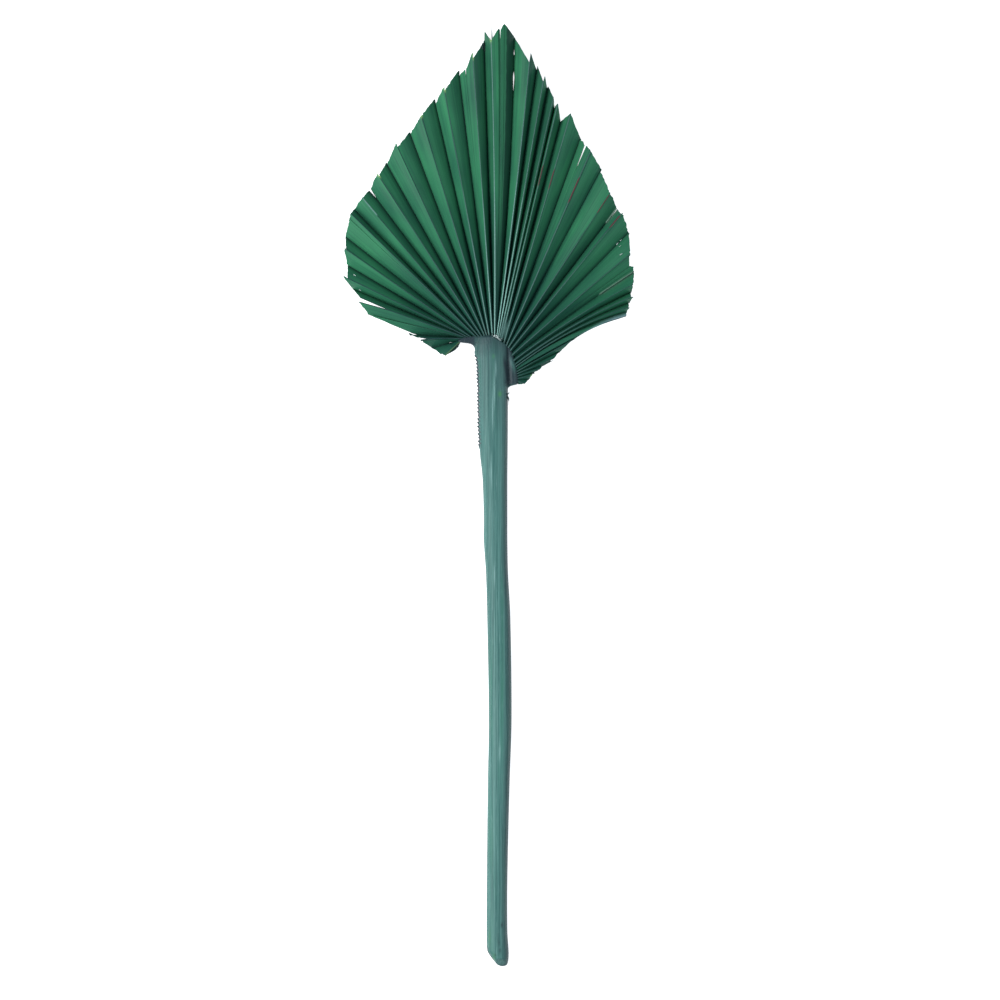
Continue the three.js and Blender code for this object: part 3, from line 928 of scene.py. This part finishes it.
def stalk_shade_and_marks(x, y, left, right):
    """How dark a point is made: painted shade in the groove, on the arm, shoulder and lip and along the right
    edge, with a painted highlight on the top of the swelling; darker towards the top; dark saw teeth on the
    left edge and dark edges at the cut end.
    """
    arm = ARM_SHADE * ramp(x, *ARM_ACROSS) * ramp(y, *ARM_UP)
    shoulder = SHOULDER_SHADE * ramp(x, *SHOULDER_ACROSS) * ramp(y, *SHOULDER_UP)
    shoulder *= 1 - SHOULDER_HIGHLIGHT * on_ridge(x, y, right)
    head = HEAD_DARK * ramp(y, *HEAD_UP) + LIP_SHADE * ramp(y, *LIP_UP)
    flank = FLANK_SHADE * ramp(x, right - FLANK_WIDTH, right)
    saw = end = 0
    if SAW_FROM < y < SAW_TO:
        saw = ramp(x, left + SAW_DARK, left + SAW_DARK_INNER * SAW_DARK)
    if y < END_CUT:
        end = END_DARK * ramp(min(x - left, right - x), *END_EDGE)
    return max(GROOVE_SHADE * in_groove(x, y), arm, shoulder, head, flank, saw, end)


def add_stalk(settings):
    """The stalk, with its fibres, its saw-edged margin and the collar under the blade."""
    bm = bmesh.new()
    layers = {name: bm.verts.layers.float.new(name) for name in ("dark", "fresh", "pale")}
    rows = stalk_rows()
    columns = settings.sides

    def place(vert, column, row, lower):
        y = rows[row]
        left, right = collar_edges(y)
        x = mix(left, right, (1 - math.cos(math.pi * column / columns)) / 2)
        vert.co = stalk_point(x, y, left, right, lower, settings.fibre / MM) * MM
        vert[layers["dark"]] = stalk_shade_and_marks(x, y, left, right)
        for spot_x, spot_y, wide, long, layer, strength in SPOTS:
            near = strength * hump(x, spot_x, wide) * hump(y, spot_y, long)
            vert[layers[layer]] = max(vert[layers[layer]], near)

    for lower in (False, True):
        add_sheet(bm, columns, len(rows) - 1, lambda v, c, r, low=lower: place(v, c, r, low))
    bmesh.ops.remove_doubles(bm, verts=bm.verts, dist=WELD)
    bmesh.ops.recalc_face_normals(bm, faces=bm.faces)
    return finished("leaf_stalk", bm, stalk_material(settings), "stalk", "stalk")


# Small pieces


def add_fibres(settings):
    """Loose fibres at the rim and below the shoulder, each a tapered hair."""
    curve = bpy.data.curves.new("leaf_fibres", "CURVE")
    curve.dimensions = "3D"
    curve.bevel_depth = MM / 2
    curve.bevel_resolution = 1
    curve.use_fill_caps = True
    for thick, *points in FIBRES:
        spline = curve.splines.new("NURBS")
        spline.points.add(len(points) - 1)
        spline.use_endpoint_u = True
        spline.order_u = 3
        for i, point in enumerate(points):
            spline.points[i].co = (*(c * MM for c in point), 1)
            spline.points[i].radius = thick * mix(1, FIBRE_TIP, i / (len(points) - 1))
    curve.materials.append(fibre_material(settings))
    fibres = bpy.data.objects.new("leaf_fibres", curve)
    bpy.context.scene.collection.objects.link(fibres)
    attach(fibres, "root")
    return fibres


def ground(*names):
    """A function that gives the height of the named pieces' upper face at a point, all in metres."""
    graph = bpy.context.evaluated_depsgraph_get()
    trees = [BVHTree.FromObject(bpy.data.objects[name], graph) for name in names]

    def height(x, y):
        hits = [tree.ray_cast(Vector((x, y, 1)), Vector((0, 0, -1)))[0] for tree in trees]
        return max((hit.z for hit in hits if hit), default=0)

    return height


def frayed_lip():
    """The rows of the small scraps along the lip, each at a place of its own."""
    for i in range(FRAY_COUNT):
        a, b, c = (wobble(i * FRAY_CHANGE.x, k * FRAY_CHANGE.y, NOISE.fray) for k in range(3))
        spot = FRAY_FROM.lerp(FRAY_TO, i / (FRAY_COUNT - 1))
        varied = zip((FRAY_LONG, FRAY_WIDE, FRAY_TURN, FRAY_CURL), (c, a, b, c))
        yield spot.x + a, spot.y + FRAY_DEPTH * abs(b), *(middle + vary * by for (middle, vary), by in varied)


def add_scraps(settings):
    """The pale torn scraps along the lip and at the rim, each a small curled strip."""
    bm = bmesh.new()
    layer = bm.verts.layers.float.new("pale")
    height = ground("leaf_blade", "leaf_stalk")
    for i, (x, y, long, wide, turn, curl) in enumerate([*SCRAPS, *frayed_lip()]):
        turn, curl = math.radians(turn), math.radians(curl)
        along = Vector((math.cos(turn), math.sin(turn)))
        pale = 1 if i < len(SCRAPS) else hump(x, PALE_AT, PALE_HALF)

        def place(vert, column, row):
            share = row / SCRAP_ROWS
            up = share - 0.5
            side = (column / SCRAP_COLUMNS - 0.5) * wide * (1 - SCRAP_TAPER * share)
            spot = Vector((x, y)) + along * long * up + along.orthogonal() * side
            lift = SCRAP_ARCH * long * (math.cos(2 * curl * up) - math.cos(curl)) + SCRAP_LIFT
            lift += SCRAP_CRINKLE * wobble(up * long * 2, side * 3, i)
            vert.co = Vector((*spot * MM, height(x * MM, y * MM) + lift * MM))
            vert[layer] = pale

        add_sheet(bm, SCRAP_COLUMNS, SCRAP_ROWS, place)
    scraps = finished("leaf_scraps", bm, scrap_material(settings), "stalk")
    wall = scraps.modifiers.new("wall", "SOLIDIFY")
    wall.thickness = SCRAP_SKIN * MM
    wall.offset = 0
    return scraps


# Materials

# How fine each pattern is. Those on the blade follow its own run, in millimetres: round the rim,
# then out from the hub. The others follow the object, in metres.
VEINS = (1.6, 0.012, 0)
FINE_VEINS = (5.5, 0.05, 0)
BLADE_CLOUDS = (0.12, 0.03, 0)
CORD_GRAIN = (3, 1.1, 0)
EDGE_GRAIN = (2, 0.5, 0)
STALK_FIBRES = (2600, 22, 700)
STALK_BANDS = (600, 8, 200)
STALK_FLECKS = (3200, 120, 900)
STALK_GREENS = (260, 14, 200)
FIBRE_GRAIN = (900, 900, 900)
SCRAP_GRAIN = (1200, 1200, 1200)
FLOOR_CLOUDS = (2, 2, 2)
# The painted shade round the hub: where it is full, where it ends and how strong it is.
HUB_SHADE = (8, 75, 0.85)
VEIN_RELIEF = 0.12 * MM
FIBRE_RELIEF = 0.15 * MM


class Shader:
    """Adds and joins the nodes of one new material."""

    def __init__(self, name):
        self.material = bpy.data.materials.new(name)
        self.material.use_nodes = True
        self.nodes = self.material.node_tree.nodes
        self.links = self.material.node_tree.links
        self.surface = self.nodes["Principled BSDF"]

    def put(self, socket, value):
        """Sets a socket, or joins it where the value is another node's output."""
        if isinstance(value, bpy.types.NodeSocket):
            self.links.new(value, socket)
        else:
            socket.default_value = value

    def add(self, kind, inputs=(), **settings):
        """A new node, with its settings and its inputs by name or number."""
        node = self.nodes.new("ShaderNode" + kind)
        for name, value in settings.items():
            setattr(node, name, value)
        for name, value in dict(inputs).items():
            self.put(node.inputs[name], value)
        return node

    def attribute(self, name, output="Fac"):
        """A value that the mesh carries."""
        return self.add("Attribute", attribute_name=name).outputs[output]

    def math(self, operation, *values):
        """The result of an operation on numbers, kept between 0 and 1."""
        inputs = dict(enumerate(values))
        return self.add("Math", inputs, operation=operation, use_clamp=True).outputs[0]

    def blend(self, share, a, b):
        """Colour b over colour a by a share."""
        node = self.add("Mix", data_type="RGBA")
        self.put(node.inputs[0], share)
        self.put(node.inputs[6], a)
        self.put(node.inputs[7], b)
        return node.outputs[2]

    def spread(self, value, low, high, start=0.0, end=1.0):
        """A value between two limits, spread over another range."""
        inputs = {"Value": value, "From Min": low, "From Max": high, "To Min": start, "To Max": end}
        return self.add("MapRange", inputs, clamp=True).outputs[0]

    def streaks(self, vector, scale, detail=2.0):
        """Noise drawn out along one direction."""
        moved = self.add("Mapping", {"Vector": vector, "Scale": scale}).outputs[0]
        inputs = {"Vector": moved, "Scale": 1.0, "Detail": detail, "Roughness": 0.6}
        return self.add("TexNoise", inputs).outputs["Fac"]

    def bump(self, height, strength, distance):
        """Fine relief."""
        inputs = {"Height": height, "Strength": strength, "Distance": distance}
        self.put(self.surface.inputs["Normal"], self.add("Bump", inputs).outputs[0])


def blade_material(settings):
    """Dyed leaf: fine veins along each panel, painted shade in the creases, over shaded strips and round the
    hub, and ribs that are paler near the hub.
    """
    shader = Shader("dyed blade")
    run = shader.attribute("run", "Vector")
    veins = shader.streaks(run, VEINS)
    fine = shader.streaks(run, FINE_VEINS)
    clouds = shader.streaks(run, BLADE_CLOUDS)
    grain = shader.streaks(run, CORD_GRAIN)
    tone = shader.math("ADD", shader.math("MULTIPLY", veins, 0.5), shader.math("MULTIPLY", clouds, 0.5))
    colour = shader.blend(shader.spread(tone, 0.36, 0.64), tuple(settings.deep), tuple(settings.bright))
    colour = shader.blend(shader.spread(fine, 0.35, 0.7, 0.0, 0.3), colour, tuple(settings.bright))
    along = shader.add("SeparateXYZ", {"Vector": run})
    full, ends, strength = HUB_SHADE
    # Painted shade, darker towards the hub.
    hub_shade_share = shader.spread(along.outputs[1], full, ends, strength, 0.0)
    colour = shader.blend(hub_shade_share, colour, tuple(settings.hub))
    # Painted shade in the valleys and over shaded strips.
    crease = shader.math("POWER", shader.attribute("crease"), 1.2)
    colour = shader.blend(shader.math("MULTIPLY", crease, 0.9), colour, tuple(settings.crease))
    cord = shader.blend(shader.attribute("shine"), tuple(settings.rib_dim), tuple(settings.rib))
    cord = shader.blend(shader.spread(grain, 0.4, 0.7, 0.0, 0.35), cord, tuple(settings.hub))
    colour = shader.blend(shader.attribute("rib"), colour, cord)
    colour = shader.blend(shader.math("POWER", shader.attribute("brown"), 0.5), colour, tuple(settings.brown))
    colour = shader.blend(shader.attribute("fresh"), colour, tuple(settings.fresh))
    colour = shader.blend(shader.attribute("under"), colour, tuple(settings.under))
    colour = shader.blend(shader.attribute("pale"), colour, tuple(settings.torn))
    shader.put(shader.surface.inputs["Base Color"], colour)
    shader.put(shader.surface.inputs["Roughness"], shader.spread(clouds, 0.3, 0.7, 0.42, 0.56))
    shader.surface.inputs["Specular IOR Level"].default_value = 0.16
    shader.bump(veins, 0.5, VEIN_RELIEF)
    return shader.material


def cut_edge_material(settings):
    """The dark line of the cut rim and the slits."""
    shader = Shader("cut edge")
    grain = shader.streaks(shader.attribute("run", "Vector"), EDGE_GRAIN)
    # The dark colour here is the one that also paints the shade in the valleys.
    colour = shader.blend(grain, tuple(settings.crease), tuple(settings.deep))
    shader.put(shader.surface.inputs["Base Color"], colour)
    shader.surface.inputs["Roughness"].default_value = 0.75
    return shader.material


def stalk_material(settings):
    """Dyed stalk: long fibres, with painted shade in the groove, on the collar and along its right edge."""
    shader = Shader("dyed stalk")
    place = shader.add("TexCoord").outputs["Object"]
    fibres = shader.streaks(place, STALK_FIBRES, 3.0)
    bands = shader.streaks(place, STALK_BANDS)
    flecks = shader.streaks(place, STALK_FLECKS)
    greens = shader.streaks(place, STALK_GREENS)
    tone = shader.math("ADD", shader.math("MULTIPLY", fibres, 0.6), shader.math("MULTIPLY", bands, 0.4))
    colour = shader.blend(shader.spread(tone, 0.38, 0.62), tuple(settings.deep), tuple(settings.bright))
    colour = shader.blend(shader.spread(greens, 0.5, 0.7, 0.0, 0.6), colour, tuple(settings.green))
    colour = shader.blend(shader.spread(flecks, 0.58, 0.75, 0.0, 0.4), colour, tuple(settings.fleck))
    # Painted shade on the collar, in the groove and along the right edge, with a painted highlight on the
    # swelling; also the dark spots, saw teeth and cut end.
    colour = shader.blend(shader.attribute("dark"), colour, tuple(settings.collar))
    colour = shader.blend(shader.attribute("fresh"), colour, tuple(settings.fresh))
    colour = shader.blend(shader.attribute("pale"), colour, tuple(settings.fleck))
    shader.put(shader.surface.inputs["Base Color"], colour)
    shader.surface.inputs["Roughness"].default_value = 0.5
    shader.surface.inputs["Specular IOR Level"].default_value = 0.35
    shader.bump(fibres, 0.6, FIBRE_RELIEF)
    return shader.material


def fibre_material(settings):
    """Dark dried fibre."""
    shader = Shader("dark fibre")
    place = shader.add("TexCoord").outputs["Object"]
    grain = shader.streaks(place, FIBRE_GRAIN)
    colour = shader.blend(grain, tuple(settings.dark), tuple(settings.light))
    shader.put(shader.surface.inputs["Base Color"], colour)
    shader.surface.inputs["Roughness"].default_value = 0.7
    return shader.material


def scrap_material(settings):
    """Pale papery sheath."""
    shader = Shader("pale scrap")
    place = shader.add("TexCoord").outputs["Object"]
    grain = shader.streaks(place, SCRAP_GRAIN, 3.0)
    share = shader.math("MULTIPLY", shader.attribute("pale"), shader.spread(grain, 0.3, 0.6, 0.4, 1.0))
    colour = shader.blend(share, tuple(settings.light), tuple(settings.pale))
    shader.put(shader.surface.inputs["Base Color"], colour)
    shader.surface.inputs["Roughness"].default_value = 0.6
    return shader.material


def floor_material(settings):
    """Plain pale studio floor that glows a little, as a light table does."""
    shader = Shader("pale floor")
    place = shader.add("TexCoord").outputs["Object"]
    clouds = shader.streaks(place, FLOOR_CLOUDS)
    colour = shader.blend(clouds, tuple(settings.shaded), tuple(settings.white))
    shader.put(shader.surface.inputs["Base Color"], colour)
    shader.surface.inputs["Roughness"].default_value = 0.9
    shader.surface.inputs["Emission Color"].default_value = GLOW_COLOUR
    shader.surface.inputs["Emission Strength"].default_value = settings.glow
    return shader.material


# Settings


def length(name, text, value, low=0.0, high=0.5):
    """A length property, in metres."""
    return bpy.props.FloatProperty(
        name=name, description=text, default=value, min=low, max=high, subtype="DISTANCE", unit="LENGTH"
    )


def colour(name, text, value):
    """A colour property."""
    return bpy.props.FloatVectorProperty(
        name=name, description=text, default=(*value, 1), size=4, min=0, max=1, subtype="COLOR"
    )


class BladeSettings(bpy.types.PropertyGroup):
    """Sizes and colours of the blade"""

    skin: length("Skin", "Thickness of a panel", 0.35 * MM)
    depth: length("Pleat depth", "Height of a crest over a valley", 5.4 * MM)
    rib_half: length("Rib half width", "Half the width of the rib on a crest", 0.42 * MM)
    rib_high: length("Rib height", "How far a rib stands up", 0.28 * MM)
    arch: bpy.props.FloatProperty(
        name="Arch", description="Rise of a panel's middle, as a share of its width", default=0.09
    )
    rows: bpy.props.IntProperty(name="Rows", description="Rows of faces from hub to rim", default=64, min=8)
    deep: colour("Deep green", "Dark dye between the veins", (0.021, 0.11, 0.07))
    bright: colour("Bright green", "Light dye on the veins", (0.038, 0.228, 0.104))
    # Hub colour: painted shade round the hub, and also the dark grain of the ribs.
    hub: colour("Hub", "Darker dye round the hub", (0.012, 0.055, 0.05))
    # Crease colour: painted shade in the valleys and over shaded strips; the cut edge also uses it as its
    # dark colour.
    crease: colour("Crease", "Dye that has pooled in a valley", (0.006, 0.014, 0.02))
    rib: colour("Rib", "Pale cord on a crest", (0.34, 0.62, 0.54))
    rib_dim: colour("Dim rib", "Cord on a crest near the rim", (0.009, 0.028, 0.036))
    brown: colour("Brown", "Rust marks on some ribs", (0.13, 0.035, 0.045))
    fresh: colour("Fresh", "Green pith at the cut end of a rib", (0.32, 0.55, 0.2))
    under: colour("Underside", "Pale underside of the folded edge", (0.26, 0.40, 0.44))
    torn: colour("Torn edge", "Pale edge of a slit", (0.24, 0.40, 0.29))


class StalkSettings(bpy.types.PropertyGroup):
    """Sizes and colours of the stalk"""

    fibre: length("Fibre relief", "Height of the fibres", 0.13 * MM)
    sides: bpy.props.IntProperty(name="Sides", description="Faces across the stalk", default=72, min=8)
    deep: colour("Deep teal", "Dye between the fibres", (0.036, 0.128, 0.116))
    bright: colour("Pale teal", "Dye on the fibres", (0.115, 0.28, 0.248))
    green: colour("Green", "Greener stretches", (0.06, 0.235, 0.165))
    fleck: colour("Fleck", "Pale ends of fibres", (0.22, 0.40, 0.37))
    # Collar colour: painted shade in the groove, on the arm, shoulder and lip and along the right edge; also
    # the dark spots, saw teeth and cut end.
    collar: colour("Collar", "Purple shade of the collar", (0.017, 0.028, 0.04))
    fresh: colour("Fresh", "Green spots", (0.07, 0.28, 0.10))


class DetailSettings(bpy.types.PropertyGroup):
    """Colours of the loose fibres and scraps"""

    dark: colour("Dark fibre", "Dark side of a loose fibre", (0.012, 0.016, 0.022))
    light: colour("Light fibre", "Light side of a loose fibre", (0.05, 0.10, 0.09))
    pale: colour("Scrap", "Torn sheath", (0.78, 0.88, 0.84))


class StageSettings(bpy.types.PropertyGroup):
    """The floor, the lights and the camera"""

    floor: length("Floor", "Half the width of the floor", 6.0, 1.0, 20.0)
    view: length("View", "Width of what the camera sees", 0.5, 0.1, 2.0)
    distance: length("Distance", "Camera to leaf", 3.0, 1.0, 20.0)
    shaded: colour("Dim floor", "Darker patches of the floor", (0.86, 0.86, 0.86))
    white: colour("Floor", "Paler patches of the floor", (0.88, 0.88, 0.88))
    glow: bpy.props.FloatProperty(name="Floor glow", description="Light the floor gives off", default=0.85)
    key: bpy.props.FloatProperty(name="Key", description="Watts of the light on the left", default=5.3)
    side: bpy.props.FloatProperty(name="Side", description="Watts of the light on the right", default=1.15)
    fill: bpy.props.FloatProperty(name="Fill", description="Strength of the light all round", default=0.34)


# Operators


class PALM_OT_blade(bpy.types.Operator):
    """Builds the pleated blade"""

    bl_idname = "palm.blade"
    bl_label = "Blade"

    def execute(self, context):
        add_blade(context.scene.palm_blade)
        return {"FINISHED"}


class PALM_OT_stalk(bpy.types.Operator):
    """Builds the stalk with its collar"""

    bl_idname = "palm.stalk"
    bl_label = "Stalk"

    def execute(self, context):
        add_stalk(context.scene.palm_stalk)
        return {"FINISHED"}


class PALM_OT_details(bpy.types.Operator):
    """Builds the loose fibres and the torn scraps"""

    bl_idname = "palm.details"
    bl_label = "Fibres and scraps"

    def execute(self, context):
        add_fibres(context.scene.palm_details)
        add_scraps(context.scene.palm_details)
        return {"FINISHED"}


class PALM_OT_stage(bpy.types.Operator):
    """Builds the floor, the lights and the camera"""

    bl_idname = "palm.stage"
    bl_label = "Stage"

    def execute(self, context):
        settings = context.scene.palm_stage
        add_floor(settings)
        add_lights(context.scene, settings)
        add_camera(context.scene, settings)
        return {"FINISHED"}


class PALM_PT_panel(bpy.types.Panel):
    """Lists the operators of the palm leaf"""

    bl_label = "Palm Leaf"
    bl_space_type = "VIEW_3D"
    bl_region_type = "UI"
    bl_category = "Palm Leaf"

    def draw(self, context):
        for name in STEPS:
            self.layout.operator("palm." + name)


STEPS = ("blade", "stalk", "details", "stage")
CLASSES = (
    BladeSettings,
    StalkSettings,
    DetailSettings,
    StageSettings,
    PALM_OT_blade,
    PALM_OT_stalk,
    PALM_OT_details,
    PALM_OT_stage,
    PALM_PT_panel,
)
GROUPS = {
    "palm_blade": BladeSettings,
    "palm_stalk": StalkSettings,
    "palm_details": DetailSettings,
    "palm_stage": StageSettings,
}


# Stage

PHOTO_CENTRE = Vector((5.8, -2.4, 5)) * MM  # what lies at the middle of the photograph
FLOOR = CAD_BOX[0][2] - 0.1 * MM  # a little clear of the flat under the stalk
GLOW_COLOUR = (1, 1, 1, 1)
LIGHT_REACH = 0.46  # each light stands this far to the side, in metres
LIGHT_HEIGHT = 0.44
LIGHT_WIDTH = 0.26
LIGHT_LENGTH = 1.0
SKY = (0.64, 0.84, 1, 1)
SENSOR = 36.0


def add_floor(settings):
    """The plain floor that the leaf lies on."""
    bm = bmesh.new()
    bmesh.ops.create_grid(bm, x_segments=1, y_segments=1, size=settings.floor)
    mesh = bpy.data.meshes.new("floor")
    bm.to_mesh(mesh)
    bm.free()
    mesh.materials.append(floor_material(settings))
    floor = bpy.data.objects.new("floor", mesh)
    bpy.context.scene.collection.objects.link(floor)
    floor.location.z = FLOOR
    floor.visible_diffuse = False


def add_lights(scene, settings):
    """A long soft light on either side, the left one stronger, and cool light from all round."""
    for name, side, watts in (("key", -1, settings.key), ("side", 1, settings.side)):
        lamp = bpy.data.lights.new(name, "AREA")
        lamp.shape = "RECTANGLE"
        lamp.size, lamp.size_y = LIGHT_WIDTH, LIGHT_LENGTH
        lamp.energy = watts
        light = bpy.data.objects.new(name, lamp)
        light.location = (side * LIGHT_REACH, 0, LIGHT_HEIGHT)
        light.rotation_euler = (0, side * math.atan2(LIGHT_REACH, LIGHT_HEIGHT), 0)
        scene.collection.objects.link(light)
    world = bpy.data.worlds.new("studio")
    world.use_nodes = True
    background = world.node_tree.nodes["Background"]
    background.inputs["Color"].default_value = SKY
    background.inputs["Strength"].default_value = settings.fill
    scene.world = world
    scene.view_settings.view_transform = "Standard"


def add_camera(scene, settings):
    """A long lens straight above the leaf."""
    camera = bpy.data.cameras.new("camera")
    camera.sensor_width = SENSOR
    camera.lens = SENSOR * settings.distance / settings.view
    camera.clip_end = 4 * settings.distance
    view = bpy.data.objects.new("camera", camera)
    view.location = PHOTO_CENTRE + Vector((0, 0, settings.distance))
    scene.collection.objects.link(view)
    scene.camera = view


# Running


def register():
    """Adds the classes and their settings to Blender."""
    for cls in CLASSES:
        bpy.utils.register_class(cls)
    for name, group in GROUPS.items():
        setattr(bpy.types.Scene, name, bpy.props.PointerProperty(type=group))


def unregister():
    """Takes them out again."""
    for name in GROUPS:
        delattr(bpy.types.Scene, name)
    for cls in reversed(CLASSES):
        bpy.utils.unregister_class(cls)


def main():
    """Builds everything in order."""
    register()
    for name in STEPS:
        getattr(bpy.ops.palm, name)()


if __name__ == "__main__":
    main()
